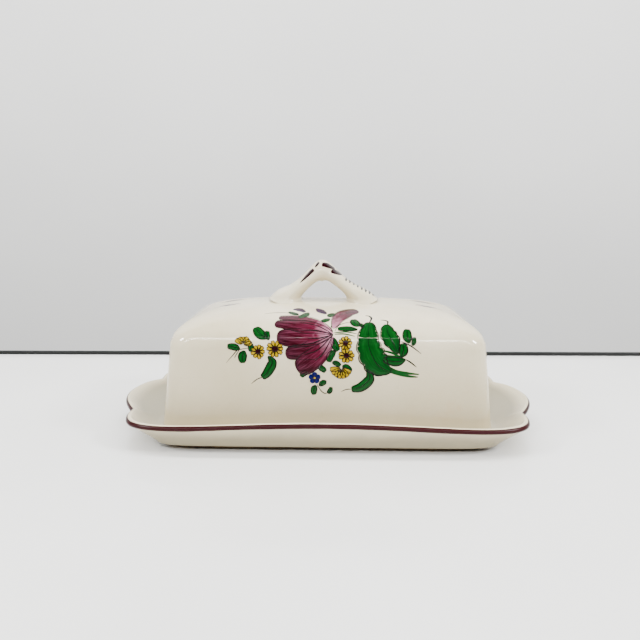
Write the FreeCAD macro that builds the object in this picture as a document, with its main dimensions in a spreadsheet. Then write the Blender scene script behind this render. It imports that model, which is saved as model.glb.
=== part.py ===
import FreeCAD, Part
import math
import os

import Sketcher

# Covered butter dish in tin-glazed earthenware.
#
# Frame: +Z up, +X along the length of the dish, -Y towards the person using it.
# Origin: on the table, under the middle of the dish. All lengths in mm.
#
# Three mouldings: a shallow dish with a scalloped rim, a hollow cover that stands
# on the ledge inside the dish, and a bough-shaped handle luted on the cover's roof.

os.makedirs("parts", exist_ok=True)
doc = FreeCAD.newDocument("butter_crock")

# ---------------------------------------------------------------- driving sizes
SIZES = [
    # the dish
    ("rim_beyond_ends", 19.2),     # how far the rim stands out past the cover
    ("rim_beyond_sides", 11.5),
    ("ear_bulge", 9.8),           # the rounded ear in the middle of each end
    ("foot_within_ends", 20.6),    # how far the foot ring is set in from the rim
    ("foot_within_sides", 11.1),
    ("foot_height", 3.3),
    ("foot_ring_width", 5.0),
    ("foot_recess", 1.8),          # how far the base is raised inside the foot ring
    ("chine_overhang", 5.4),       # the wall starts this far outside the foot ring
    ("ledge_height", 8.2),         # where the cover stands
    ("ledge_width", 10.5),
    ("well_depth", 2.0),           # below the ledge
    ("rim_rise", 8.8),             # above the ledge, in the middle of a long side
    ("rim_dip_corner", 2.6),       # the rim is this much lower round the ends
    ("rim_dip_cusp", 0.8),         # and lower again in the cusps beside each ear
    ("lip_thickness", 3.2),
    # the cover
    ("cover_length", 162.0),       # at the bottom edge
    ("cover_width", 94.0),
    ("cover_height", 58.0),        # from the bottom edge to the ridge of the roof
    ("cover_corner", 9.0),         # radius of the upright corners
    ("cover_draft", 5.5),          # lean of the walls, degrees
    ("roof_rise", 16.0),           # from the top of the straight wall to the ridge
    ("wall_thickness", 4.5),
    ("cover_play", 3.0),           # gap all round between the cover and the dish's wall
    ("seat_gap", 0.3),             # left between the cover and the ledge
    # the handle
    ("handle_span", 42.0),         # between the middles of its two feet
    ("handle_rise", 16.4),         # middle of the strap above the roof at the bend
    ("handle_bend", -3.3),         # where the bend is, along X
    ("strap_width", 18.0),
    ("strap_thickness", 7.4),
    ("handle_sink", 1.2),          # how deep the feet are pressed into the roof
]
sheet = doc.addObject("Spreadsheet::Sheet", "sizes")
for row, (name, value) in enumerate(SIZES, start=1):
    sheet.set("A%d" % row, name)
    sheet.set("B%d" % row, str(value))
    sheet.setAlias("B%d" % row, name)
doc.recompute()


def size(name):
    """One driving size, read from the sheet."""
    return float(sheet.get(name))


# ------------------------------------------------------------------- the dish
# Every horizontal line of the dish is a squarish oval. Near the rim it also shows
# an ear in the middle of each short end, which meets the corners in two cusps.
CUSP_ANGLE = math.radians(26.0)     # where the cusps are, on an oval drawn as a circle
EAR_STEPS, SIDE_STEPS = 20, 44      # points along an ear, and along a side with its corners
CUSP_REACH = 0.11                   # how far the dip in a cusp spreads, as a share of half the width
CORNER_START = 0.88                 # where along the side the rim has reached its lower level
FOOT_CHAMFER = 0.6                  # taken off both edges of the foot ring

# How square the lines are: 2 is an oval, a large number nearly a rectangle.
FOOT_SQUARE, RIM_SQUARE, LEDGE_SQUARE, WELL_SQUARE = 11.0, 7.0, 14.0, 9.0
WALL_FLARE = 1.15                   # above 1 the wall stands steeper low down
INNER_FADE = 1.3                    # how quickly the ear dies away down the inside
LIP_DEPTH = 1.1                     # the lip's roundness, downwards against outwards
INNER_LIP_DROP = 0.85               # where the lip ends inside, as a share of that depth
COVE = 0.9                          # slope at the well's edge, as a share of its depth


def rim_reach():
    """Half the length and half the width of the dish over its corners."""
    return (size("cover_length") / 2 + size("rim_beyond_ends"),
            size("cover_width") / 2 + size("rim_beyond_sides"))


def stretch(start, end, steps, a, b, squareness, height, ear, follow):
    """One stretch of a line round the dish, from one cusp to the next.

    ear is how much of the ear the line shows, and follow how much of the rim's
    rise and fall: 0 low in the wall, 1 at the rim.
    """
    points = []
    for step in range(steps + 1):
        angle = start + (end - start) * step / steps
        c, s = math.cos(angle), math.sin(angle)
        reach = (abs(c) ** squareness + abs(s) ** squareness) ** (-1.0 / squareness)
        x, y = a * reach * c, b * reach * s
        corner_dip = 1.0 - (1.0 - min(1.0, abs(x) / (CORNER_START * a)) ** 2) ** 2
        cusp_dip = 0.0
        if abs(c) > abs(s):
            along_end = abs(s / c) / math.tan(CUSP_ANGLE)
            x += math.copysign(ear * size("ear_bulge") * max(0.0, 1.0 - along_end ** 2), x)
            cusp_dip = math.exp(-((along_end - 1.0) * math.tan(CUSP_ANGLE) / CUSP_REACH) ** 2)
        dip = size("rim_dip_corner") * corner_dip + size("rim_dip_cusp") * cusp_dip
        points.append(FreeCAD.Vector(x, y, height - follow * dip))
    curve = Part.BSplineCurve()
    curve.interpolate(points)
    return curve.toShape()


def line_round(a, b, squareness, height, ear=0.0, follow=0.0):
    """A whole line round the dish, as a wire of two ears and two sides."""
    corners = [-CUSP_ANGLE, CUSP_ANGLE, math.pi - CUSP_ANGLE, math.pi + CUSP_ANGLE,
               2 * math.pi - CUSP_ANGLE]
    edges = []
    for number in range(4):
        steps = EAR_STEPS if number % 2 == 0 else SIDE_STEPS
        edges.append(stretch(corners[number], corners[number + 1], steps,
                             a, b, squareness, height, ear, follow))
    return Part.Wire(edges)


def make_dish():
    rim_a, rim_b = rim_reach()
    foot_a = rim_a - size("foot_within_ends")
    foot_b = rim_b - size("foot_within_sides")
    foot_top = size("foot_height")
    rim_top = size("ledge_height") + size("rim_rise")
    chine_a = foot_a + size("chine_overhang")
    chine_b = foot_b + size("chine_overhang")
    lip = size("lip_thickness") / 2

    # the foot ring, from the recess under the base round to the chine
    ring = size("foot_ring_width")
    recess = line_round(foot_a - ring - FOOT_CHAMFER, foot_b - ring - FOOT_CHAMFER,
                        FOOT_SQUARE, size("foot_recess"))
    foot_inner = line_round(foot_a - ring, foot_b - ring, FOOT_SQUARE, 0.0)
    foot_outer = line_round(foot_a - FOOT_CHAMFER, foot_b - FOOT_CHAMFER, FOOT_SQUARE, 0.0)
    foot_neck = line_round(foot_a, foot_b, FOOT_SQUARE, foot_top)
    chine = line_round(chine_a, chine_b, FOOT_SQUARE, foot_top)

    # the outside of the wall: upright at the chine, flaring out towards the rim
    wall = [chine]
    edge_drop = LIP_DEPTH * lip
    for part_up in (0.3, 0.55, 0.8, 1.0):
        out = part_up ** WALL_FLARE
        wall.append(line_round(
            chine_a + (rim_a - chine_a) * out,
            chine_b + (rim_b - chine_b) * out,
            FOOT_SQUARE + (RIM_SQUARE - FOOT_SQUARE) * part_up,
            foot_top + (rim_top - edge_drop - foot_top) * part_up,
            ear=out, follow=part_up))
    outer_edge = wall[-1]

    # the rounded lip
    lip_lines = [outer_edge]
    for turn in (45.0, 90.0, 135.0):
        swing = math.radians(turn)
        inset = lip * (1.0 - math.cos(swing))
        lip_lines.append(line_round(rim_a - inset, rim_b - inset, RIM_SQUARE,
                                    rim_top - edge_drop * (1.0 - math.sin(swing)),
                                    ear=1.0, follow=1.0))
    inset = 2.0 * lip
    inner_z = rim_top - INNER_LIP_DROP * edge_drop
    inner_edge = line_round(rim_a - inset, rim_b - inset, RIM_SQUARE, inner_z,
                            ear=1.0, follow=1.0)
    lip_lines.append(inner_edge)

    # the inside of the wall, down to the ledge
    ledge_a = size("cover_length") / 2 + size("cover_play")
    ledge_b = size("cover_width") / 2 + size("cover_play")
    ledge_z = size("ledge_height")
    top_a, top_b, top_z = rim_a - inset, rim_b - inset, inner_z
    inside = [inner_edge]
    for part_down, sag in ((0.4, 0.55), (0.75, 0.88)):
        inside.append(line_round(top_a + (ledge_a - top_a) * part_down,
                                 top_b + (ledge_b - top_b) * part_down,
                                 RIM_SQUARE + (LEDGE_SQUARE - RIM_SQUARE) * part_down,
                                 top_z + (ledge_z - top_z) * sag,
                                 ear=(1.0 - part_down) ** INNER_FADE, follow=1.0 - sag))
    ledge_outer = line_round(ledge_a, ledge_b, LEDGE_SQUARE, ledge_z)
    inside.append(ledge_outer)

    # the ledge and the well
    shelf = size("ledge_width")
    floor_z = ledge_z - size("well_depth")
    cove = COVE * size("well_depth")
    ledge_inner = line_round(ledge_a - shelf, ledge_b - shelf, WELL_SQUARE, ledge_z)
    floor = line_round(ledge_a - shelf - cove, ledge_b - shelf - cove, WELL_SQUARE, floor_z)

    faces = [Part.Face(recess), Part.Face(floor)]
    for outer, inner in ((foot_outer, foot_inner), (chine, foot_neck), (ledge_outer, ledge_inner)):
        faces.append(Part.makeFace([outer, inner], "Part::FaceMakerBullseye"))
    for lines, ruled in (([recess, foot_inner], True), ([foot_outer, foot_neck], True),
                         (wall, False), (lip_lines, False), (inside, False),
                         ([ledge_inner, floor], True)):
        faces.extend(Part.makeLoft(lines, False, ruled).Faces)
    shell = Part.makeShell(faces)
    shell.sewShape(1e-3)
    if shell.ShapeType != "Shell":
        shell = shell.Shells[0]
    solid = Part.Solid(shell)
    if solid.Volume < 0:
        solid.reverse()
    return solid


dish = doc.addObject("Part::Feature", "dish")
dish.Shape = make_dish()
dish.Placement = FreeCAD.Placement()


# ------------------------------------------------------------------ the cover
def rounded_outline(body, name, half_length, half_width, corner, height):
    """A sketch of a rounded rectangle at one height, each size an expression."""
    sketch = body.newObject("Sketcher::SketchObject", name)
    plane = [f for f in body.Origin.OriginFeatures if f.Role == "XY_Plane"][0]
    sketch.AttachmentSupport = [(plane, "")]
    sketch.MapMode = "FlatFace"
    sketch.setExpression("AttachmentOffset.Base.z", height)

    # any rounded rectangle to begin with: the constraints give it its size
    a, b, r = 60.0, 35.0, 8.0
    up, turn = FreeCAD.Vector(0, 0, 1), math.pi / 2
    for i, (cx, cy) in enumerate([(a - r, b - r), (r - a, b - r), (r - a, r - b), (a - r, r - b)]):
        circle = Part.Circle(FreeCAD.Vector(cx, cy, 0), up, r)
        sketch.addGeometry(Part.ArcOfCircle(circle, i * turn, (i + 1) * turn), False)
    for i in range(4):
        side = Part.LineSegment(sketch.getPoint(i, 2), sketch.getPoint((i + 1) % 4, 1))
        sketch.addGeometry(side, False)
    rule = Sketcher.Constraint
    for i in range(4):
        sketch.addConstraint(rule("Tangent", i, 2, 4 + i, 1))
        sketch.addConstraint(rule("Tangent", 4 + i, 2, (i + 1) % 4, 1))
    for i in (1, 2, 3):
        sketch.addConstraint(rule("Equal", 0, i))
    sketch.addConstraint(rule("Symmetric", 0, 3, 2, 3, -1, 1))
    sketch.addConstraint(rule("Symmetric", 0, 3, 1, 3, -2))
    sketch.addConstraint(rule("Symmetric", 0, 3, 3, 3, -1))
    across = sketch.addConstraint(rule("DistanceX", -1, 1, 0, 3, a - r))
    deep = sketch.addConstraint(rule("DistanceY", -1, 1, 0, 3, b - r))
    radius = sketch.addConstraint(rule("Radius", 0, r))
    sketch.setExpression("Constraints[%d]" % across, "(%s) - (%s)" % (half_length, corner))
    sketch.setExpression("Constraints[%d]" % deep, "(%s) - (%s)" % (half_width, corner))
    sketch.setExpression("Constraints[%d]" % radius, corner)
    return sketch


cover = doc.addObject("PartDesign::Body", "cover_shell")
doc.recompute()

# Sizes worked out once and used at every level of the cover.
FOOT_Z = "(sizes.ledge_height + sizes.seat_gap)"
WALL_TOP = "(sizes.cover_height - sizes.roof_rise)"          # above the cover's own foot
LEAN = "tan(sizes.cover_draft * 1deg)"
LENGTH_POWER = 1 / 3.4       # the roof is squarer along the cover
WIDTH_POWER = 1 / 2.1        # than across it
ROOF_LEVELS = (0.0, 0.2, 0.4, 0.6, 0.78, 0.9, 0.97, 0.99)   # of the roof's rise
CORNER_GROWTH = 8.0          # the corners open out towards the ridge
LEAST_CORNER = 2.0           # the inside corners are never sharper than this
FULLEST_CORNER = 0.92        # a corner's radius, as a share of half the width, at most


def cover_skin(side, inset, feature):
    """The upright wall and the roof of one side of the cover, as two lofts."""
    wall_a = "(sizes.cover_length / 2 - %s * %s - %s)" % (WALL_TOP, LEAN, inset)
    wall_b = "(sizes.cover_width / 2 - %s * %s - %s)" % (WALL_TOP, LEAN, inset)
    corner = "max(sizes.cover_corner - %s; %.1f)" % (inset, LEAST_CORNER)
    bottom = rounded_outline(cover, side + "_bottom",
                             "sizes.cover_length / 2 - %s" % inset,
                             "sizes.cover_width / 2 - %s" % inset,
                             corner, FOOT_Z)
    levels = []
    for number, level in enumerate(ROOF_LEVELS):
        left = 1.0 - level ** 2
        half_width = "%s * %.6f" % (wall_b, left ** WIDTH_POWER)
        levels.append(rounded_outline(
            cover, "%s_roof_%d" % (side, number),
            "%s * %.6f" % (wall_a, left ** LENGTH_POWER), half_width,
            "min(%s + %.4f; %.3f * %s)"
            % (corner, CORNER_GROWTH * level, FULLEST_CORNER, half_width),
            "%s + %s + (sizes.roof_rise - %s) * %.4f" % (FOOT_Z, WALL_TOP, inset, level)))
    wall = cover.newObject(feature, side + "_wall")
    wall.Profile = bottom
    wall.Sections = [levels[0]]
    wall.Ruled = True
    doc.recompute()
    roof = cover.newObject(feature, side + "_roof")
    roof.Profile = levels[0]
    roof.Sections = levels[1:]
    roof.Ruled = False
    doc.recompute()


cover_skin("outside", "0", "PartDesign::AdditiveLoft")
cover_skin("inside", "sizes.wall_thickness", "PartDesign::SubtractiveLoft")


# ----------------------------------------------------------------- the handle
# A flat roll of clay bent into an arch: oval slices along two legs that meet at
# the bend, then trimmed to the roof they stand on.
# Each slice: where it is along the span (-1 left foot, 1 right foot), how high
# (0 roof, 1 the bend), its climb in degrees, and its thickness and width as shares
# of the strap's.
SLICES = [
    (-1.03, "sink", 76.0, 2.20, 1.28),
    (-0.93, 0.11, 64.0, 1.80, 1.18),
    (-0.74, 0.29, 48.0, 1.22, 1.06),
    (-0.50, 0.56, 47.0, 1.00, 1.00),
    (-0.28, 0.80, 42.0, 1.14, 0.98),
    ("bend", 0.95, 0.0, 1.60, 0.98),
    (0.18, 0.82, -38.0, 1.10, 0.98),
    (0.40, 0.60, -42.0, 0.94, 1.00),
    (0.64, 0.36, -47.0, 1.04, 1.05),
    (0.86, 0.15, -62.0, 1.60, 1.15),
    (1.00, "sink", -76.0, 2.10, 1.28),
]
MIDDLE = "sizes.handle_bend * 0.6"      # midway between the feet, along X
RIDGE = "(sizes.ledge_height + sizes.seat_gap + sizes.cover_height)"
slices = []
for number, (along, up, climb, thick, wide) in enumerate(SLICES):
    oval = doc.addObject("Part::Ellipse", "slice_%02d" % number)
    oval.setExpression("MajorRadius", "sizes.strap_width * %.3f / 2" % wide)
    oval.setExpression("MinorRadius", "sizes.strap_thickness * %.3f / 2" % thick)
    turn = FreeCAD.Rotation(FreeCAD.Vector(0, 1, 0), 90.0 - climb)
    on_edge = FreeCAD.Rotation(FreeCAD.Vector(0, 0, 1), 90.0)
    oval.Placement = FreeCAD.Placement(FreeCAD.Vector(), turn.multiply(on_edge))
    place = "sizes.handle_bend" if along == "bend" else \
        "%s + sizes.handle_span / 2 * %.3f" % (MIDDLE, along)
    level = "-sizes.handle_sink" if up == "sink" else "sizes.handle_rise * %.3f" % up
    oval.setExpression("Placement.Base.x", place)
    oval.setExpression("Placement.Base.z", "%s + %s" % (RIDGE, level))
    slices.append(oval)
BEND = [along for along, *_ in SLICES].index("bend")
legs = []
for name, chosen in (("left_leg", slices[:BEND + 1]), ("right_leg", slices[BEND:])):
    leg = doc.addObject("Part::Loft", name)
    leg.Sections = chosen
    leg.Solid = True
    leg.Ruled = False
    legs.append(leg)
arch = doc.addObject("Part::Fuse", "arch")
arch.Base, arch.Tool = legs
handle = doc.addObject("Part::Cut", "handle")
handle.Base = arch
handle.Tool = cover
doc.recompute()

# -------------------------------------------------------------- check and write
for item in doc.Objects:
    if "Invalid" in item.State or "Error" in item.State:
        raise RuntimeError("%s did not build: %s" % (item.Label, item.State))
for piece in (dish, cover, handle):
    shape = piece.Shape
    if shape.isNull() or not shape.isValid() or len(shape.Solids) != 1:
        raise RuntimeError("%s is not one sound solid" % piece.Label)
    box = shape.BoundBox
    print("%-12s %8.1f cm3  x %.1f..%.1f  y %.1f..%.1f  z %.1f..%.1f" % (
        piece.Label, shape.Volume / 1000, box.XMin, box.XMax, box.YMin, box.YMax,
        box.ZMin, box.ZMax))
    shape.exportStep("parts/%s.step" % piece.Label)
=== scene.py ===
# %% [markdown]
# # A covered butter dish in tin-glazed earthenware
# A shallow dish with a scalloped rim holds the butter. A hollow cover stands on the ledge
# inside it and is lifted by a bough-shaped handle. Everything is built in the frame of the
# CAD model: metres, +Z up, +X along the dish, -Y towards the person using it.

# %% Title and frame
import math
import random

import bpy
from mathutils import Matrix, Vector, noise
from mathutils.bvhtree import BVHTree


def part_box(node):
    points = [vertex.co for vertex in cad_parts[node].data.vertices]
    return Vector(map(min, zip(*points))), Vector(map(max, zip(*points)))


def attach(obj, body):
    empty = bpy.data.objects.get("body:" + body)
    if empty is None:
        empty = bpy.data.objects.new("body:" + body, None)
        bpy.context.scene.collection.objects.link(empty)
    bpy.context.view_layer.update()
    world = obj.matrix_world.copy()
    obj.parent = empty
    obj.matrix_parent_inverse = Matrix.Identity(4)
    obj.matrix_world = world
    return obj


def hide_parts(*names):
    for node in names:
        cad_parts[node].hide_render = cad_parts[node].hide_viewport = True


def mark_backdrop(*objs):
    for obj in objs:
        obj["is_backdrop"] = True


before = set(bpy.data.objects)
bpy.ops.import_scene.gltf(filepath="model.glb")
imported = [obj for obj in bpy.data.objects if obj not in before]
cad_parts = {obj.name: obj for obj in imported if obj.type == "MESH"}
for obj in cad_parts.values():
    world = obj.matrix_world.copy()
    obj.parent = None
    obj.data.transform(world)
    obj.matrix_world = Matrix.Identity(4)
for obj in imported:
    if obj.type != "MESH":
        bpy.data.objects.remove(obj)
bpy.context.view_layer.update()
MM = 0.001
rng = random.Random(7)

# %% [markdown]
# The CAD nodes say where each moulding is. The dish and the cover are measured from them, so
# the finer shapes built here land in the same place as the shapes that are simulated.

# %% Places and sizes, in mm
dish_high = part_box("dish")[1] / MM
cover_low, cover_high = [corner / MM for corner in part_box("cover_shell")]

PAINT_ROOM = 0.07            # the dish is this much inside its CAD box, to leave room for paint
EAR_BULGE = 9.8
RIM_A = dish_high.x - EAR_BULGE - PAINT_ROOM
RIM_B = dish_high.y - PAINT_ROOM
RIM_TOP = dish_high.z
CORNER_DIP, CUSP_DIP = 2.6, 0.8
FOOT_WITHIN_ENDS, FOOT_WITHIN_SIDES = 20.6, 11.1
FOOT_A, FOOT_B = RIM_A - FOOT_WITHIN_ENDS, RIM_B - FOOT_WITHIN_SIDES
FOOT_HEIGHT, FOOT_RECESS, FOOT_RING = 3.3, 1.8, 5.0
CHINE_OUT = 5.4
LIP, LIP_DEPTH = 1.6, 1.76
FOOT_SQUARE, RIM_SQUARE, LEDGE_SQUARE, WELL_SQUARE = 11, 7, 14, 9     # 2 would be an ellipse
COVER_A, COVER_B = cover_high.x, cover_high.y
COVER_FOOT = cover_low.z
PLAY, SEAT_GAP = 3.0, 0.3
LEDGE_Z, LEDGE_WIDTH, WELL_DEPTH = COVER_FOOT - SEAT_GAP, 10.5, 2.0
WALL_HEIGHT, ROOF_RISE, WALL = 42.0, 16.0, 4.5
DRAFT = math.tan(math.radians(5.5))
CORNER, LEAST_CORNER, CORNER_OPENS = 9.0, 2, 8
ROOF_ALONG, ROOF_ACROSS = 3.4, 2.1       # how full the roof is along and across
print("dish %.1f x %.1f mm, cover foot at %.1f mm" % (2 * dish_high.x, 2 * dish_high.y, COVER_FOOT))

# %% [markdown]
# Every moulding is a stack of closed lines, each with the same number of points, joined into
# one skin. A line can be left unglazed: the faces above it then get the bare clay.


# %% Small helpers for meshes
def link(name, verts, faces, body, node=None, uvs=None):
    """A mesh object in metres from points in mm, riding on its CAD body."""
    mesh = bpy.data.meshes.new(name)
    mesh.from_pydata([Vector(v) * MM for v in verts], [], faces)
    if uvs:
        layer = mesh.uv_layers.new(name="brush")
        for loop in mesh.loops:
            layer.data[loop.index].uv = uvs[loop.vertex_index]
    mesh.validate()
    mesh.polygons.foreach_set("use_smooth", [True] * len(mesh.polygons))
    thing = bpy.data.objects.new(name, mesh)
    bpy.context.scene.collection.objects.link(thing)
    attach(thing, body)
    if node:
        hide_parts(node)
    return thing


def skin(lines):
    """Points and faces of a closed skin over lines from one pole to the other."""
    count = len(lines[0])
    verts = [p for line in lines for p in line]
    faces = []
    for row in range(len(lines) - 1):
        for i in range(count):
            j = (i + 1) % count
            faces.append((row * count + i, row * count + j,
                          (row + 1) * count + j, (row + 1) * count + i))
    for row, turn in ((0, -1), (len(lines) - 1, 1)):
        pole = len(verts)
        verts.append(sum((Vector(p) for p in lines[row]), Vector()) / count)
        for i in range(count):
            j = (i + 1) % count
            faces.append((row * count + i, row * count + j, pole)[::turn])
    return verts, faces


def blend(a, b, t):
    """From a to b as t goes from 0 to 1."""
    return a + (b - a) * t


def steps(count, start=0.0, end=1.0):
    """Evenly spaced numbers from start to end, both included."""
    return [blend(start, end, i / count) for i in range(count + 1)]


# %% [markdown]
# The dish is pressed over a plaster mould. Its lines are squarish ovals, and towards the rim
# each short end swells into an ear between two cusps, where the potter pinched the clay in.
# The rim also dips a little round the ends.

# %% Lines round the dish
CUSP = math.radians(26)
EAR_POINTS, SIDE_POINTS = 56, 168
turns = []
for start, end, count in ((-CUSP, CUSP, EAR_POINTS), (CUSP, math.pi - CUSP, SIDE_POINTS),
                          (math.pi - CUSP, math.pi + CUSP, EAR_POINTS),
                          (math.pi + CUSP, 2 * math.pi - CUSP, SIDE_POINTS)):
    turns += steps(count, start, end)[:-1]


def dish_line(a, b, squareness, height, ear=0.0, follow=0.0):
    """One line round the dish. ear and follow grow from 0 low in the wall to 1 at the rim."""
    line = []
    for turn in turns:
        c, s = math.cos(turn), math.sin(turn)
        reach = (abs(c) ** squareness + abs(s) ** squareness) ** (-1 / squareness)
        x, y = a * reach * c, b * reach * s
        dip = CORNER_DIP * (1 - (1 - min(1, abs(x) / (0.88 * a)) ** 2) ** 2)
        if abs(c) > abs(s):
            across = abs(s / c) / math.tan(CUSP)
            x += math.copysign(ear * EAR_BULGE * max(0, 1 - across ** 2), x)
            dip += CUSP_DIP * math.exp(-((across - 1) * math.tan(CUSP) / 0.11) ** 2)
        line.append(Vector((x, y, height - follow * dip)))
    return line


def lip_line(swing, proud=0.0):
    """A line on the rounded lip: swing is 0 at its outermost and 90 degrees on top."""
    inset = LIP * (1 - math.cos(swing)) - proud * math.cos(swing)
    rise = LIP_DEPTH * (math.sin(swing) - 1) + proud * math.sin(swing)
    return dish_line(RIM_A - inset, RIM_B - inset, RIM_SQUARE, RIM_TOP + rise, 1, 1)


# %% [markdown]
# From the recess under the base the skin runs round the foot ring, up the flaring wall, over
# the lip and down inside to the ledge, the cove and the floor of the well. The foot ring was
# wiped clean before firing, so it shows bare buff clay. That clay, and the underside of the
# wall just above it, are coloured dark as painted shade under the dish.

# %% The dish
SOFT = 0.5                       # the glaze rounds every edge by about this much
WALL_FLARE, INNER_SAG, INNER_FADE = 1.15, 1.7, 1.3
foot_lines = [dish_line((FOOT_A - FOOT_RING) * k, (FOOT_B - FOOT_RING) * k, FOOT_SQUARE, FOOT_RECESS)
              for k in (0.05, 0.3, 0.6, 0.85, 0.97)]
for inset, height in ((FOOT_RING + SOFT, FOOT_RECESS - 0.2), (FOOT_RING, SOFT),
                      (FOOT_RING - SOFT, 0.0)):
    foot_lines.append(dish_line(FOOT_A - inset, FOOT_B - inset, FOOT_SQUARE, height))
bare_shaded_start = len(foot_lines) - 2
for inset, height in ((SOFT * 1.4, 0.0), (0.25, 0.2), (0.0, SOFT * 1.4), (-0.1, FOOT_HEIGHT * 0.7)):
    foot_lines.append(dish_line(FOOT_A - inset, FOOT_B - inset, FOOT_SQUARE, height))
for out, below in ((0.3, 0.35), (CHINE_OUT * 0.6, 0.05)):
    foot_lines.append(dish_line(FOOT_A + out, FOOT_B + out, FOOT_SQUARE, FOOT_HEIGHT - below))
bare_shaded_end = len(foot_lines) - 1

wall_lines = []
for up in [0.0, 0.03] + steps(14, 0.08):
    out = up ** WALL_FLARE
    wall_lines.append(dish_line(
        blend(FOOT_A + CHINE_OUT, RIM_A, out), blend(FOOT_B + CHINE_OUT, RIM_B, out),
        blend(FOOT_SQUARE, RIM_SQUARE, up),
        blend(FOOT_HEIGHT + 0.12, RIM_TOP - LIP_DEPTH, up), out, up))
LIP_END = math.radians(118)          # where the lip runs into the inside of the wall
lip_lines = [lip_line(swing) for swing in steps(10, math.radians(12), LIP_END)]

lip_inset = LIP * (1 - math.cos(LIP_END))
inner_a, inner_b = RIM_A - lip_inset, RIM_B - lip_inset
inner_z = RIM_TOP + LIP_DEPTH * (math.sin(LIP_END) - 1)
ledge_a, ledge_b = COVER_A + PLAY, COVER_B + PLAY
inner_lines = []
for down in steps(20)[1:]:
    sag = 1 - (1 - down) ** INNER_SAG
    inner_lines.append(dish_line(
        blend(inner_a, ledge_a, down), blend(inner_b, ledge_b, down),
        blend(RIM_SQUARE, LEDGE_SQUARE, down), blend(inner_z, LEDGE_Z, sag),
        (1 - down) ** INNER_FADE, 1 - sag))
well_lines = []
COVE_END = 1.25                      # where the cove meets the floor, in ledge widths
for share, depth in ((0.04, 0), (0.5, 0), (0.93, 0), (1.0, 0.06), (1.08, 0.5), (1.16, 0.94),
                     (COVE_END, 1)):
    inset = LEDGE_WIDTH * share
    well_lines.append(dish_line(ledge_a - inset, ledge_b - inset,
                                blend(LEDGE_SQUARE, WELL_SQUARE, min(1, share)),
                                LEDGE_Z - WELL_DEPTH * depth))
floor_a, floor_b = ledge_a - LEDGE_WIDTH * COVE_END, ledge_b - LEDGE_WIDTH * COVE_END
for k in (0.9, 0.7, 0.45, 0.2, 0.05):
    well_lines.append(dish_line(floor_a * k, floor_b * k, WELL_SQUARE, LEDGE_Z - WELL_DEPTH))

dish_lines = foot_lines + wall_lines + lip_lines + inner_lines + well_lines
verts, faces = skin(dish_lines)
dish = link("dish_glazed", verts, faces, "tray", "dish")
around = len(turns)
for face in dish.data.polygons:
    face.material_index = 1 if bare_shaded_start * around <= face.index < bare_shaded_end * around else 0

# painted shade on the inside: 0 on the outside and the lip, 1 well inside, less near the lit front
inner_start = len(foot_lines + wall_lines + lip_lines) * around
inside_shade_mark = dish.data.attributes.new("inside", "FLOAT", "POINT")
FADE_ROWS, FRONT_END, FRONT_FADE, FRONT_SHADE = 5, -36, 14, 0.25
for vertex in dish.data.vertices:
    rows_in = (vertex.index - inner_start) / around
    to_back = min(1, max(0, (vertex.co.y / MM - FRONT_END) / FRONT_FADE))
    shade_share = min(1, max(0, rows_in / FADE_ROWS)) * blend(FRONT_SHADE, 1, to_back)
    inside_shade_mark.data[vertex.index].value = shade_share
print("dish faces", len(dish.data.polygons))

# %% [markdown]
# The cover is pressed in a mould too: upright walls leaning in by a few degrees, a tight
# shoulder and a low domed roof. Its lines are rounded rectangles whose corners open out
# towards the ridge. The inside follows the outside at an even thickness.

# %% Lines round the cover
ARC_POINTS, LONG_POINTS, SHORT_POINTS = 14, 60, 34


def cover_line(a, b, r, height):
    """A rounded rectangle round the cover."""
    line = []
    for quarter, (sx, sy) in enumerate(((1, 1), (-1, 1), (-1, -1), (1, -1))):
        cx, cy = sx * (a - r), sy * (b - r)
        for turn in steps(ARC_POINTS, 0, math.pi / 2):
            angle = turn + quarter * math.pi / 2
            line.append(Vector((cx + r * math.cos(angle), cy + r * math.sin(angle), height)))
        along = quarter % 2 == 0
        count = LONG_POINTS if along else SHORT_POINTS
        here = line[-1]
        if along:
            there = Vector((-here.x, here.y, height))
        else:
            there = Vector((here.x, -here.y, height))
        line += [here.lerp(there, t) for t in steps(count)[1:-1]]
    return line


def roof_line(level, inset):
    """A line round the roof: level is 0 at the shoulder and 1 at the ridge."""
    left = max(0.0, 1 - level ** 2)
    a = (COVER_A - WALL_HEIGHT * DRAFT - inset) * left ** (1 / ROOF_ALONG)
    b = (COVER_B - WALL_HEIGHT * DRAFT - inset) * left ** (1 / ROOF_ACROSS)
    r = min(max(CORNER - inset, LEAST_CORNER) + CORNER_OPENS * level, 0.92 * b)
    height = COVER_FOOT + WALL_HEIGHT + (ROOF_RISE - inset) * level
    return cover_line(a, b, r, height)


def cover_side(inset):
    """The lines of one side of the cover, from just above its foot to the ridge."""
    lines = []
    for height in [1.0, 1.6] + steps(20, 3.0, WALL_HEIGHT)[:-1]:
        lean = height * DRAFT + inset
        lines.append(cover_line(COVER_A - lean, COVER_B - lean, max(CORNER - inset, LEAST_CORNER),
                                COVER_FOOT + height))
    for share in steps(34):
        narrow = blend(1, 0.02, share)
        lines.append(roof_line(math.sqrt(1 - narrow ** ROOF_ACROSS), inset))
    return lines
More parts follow.
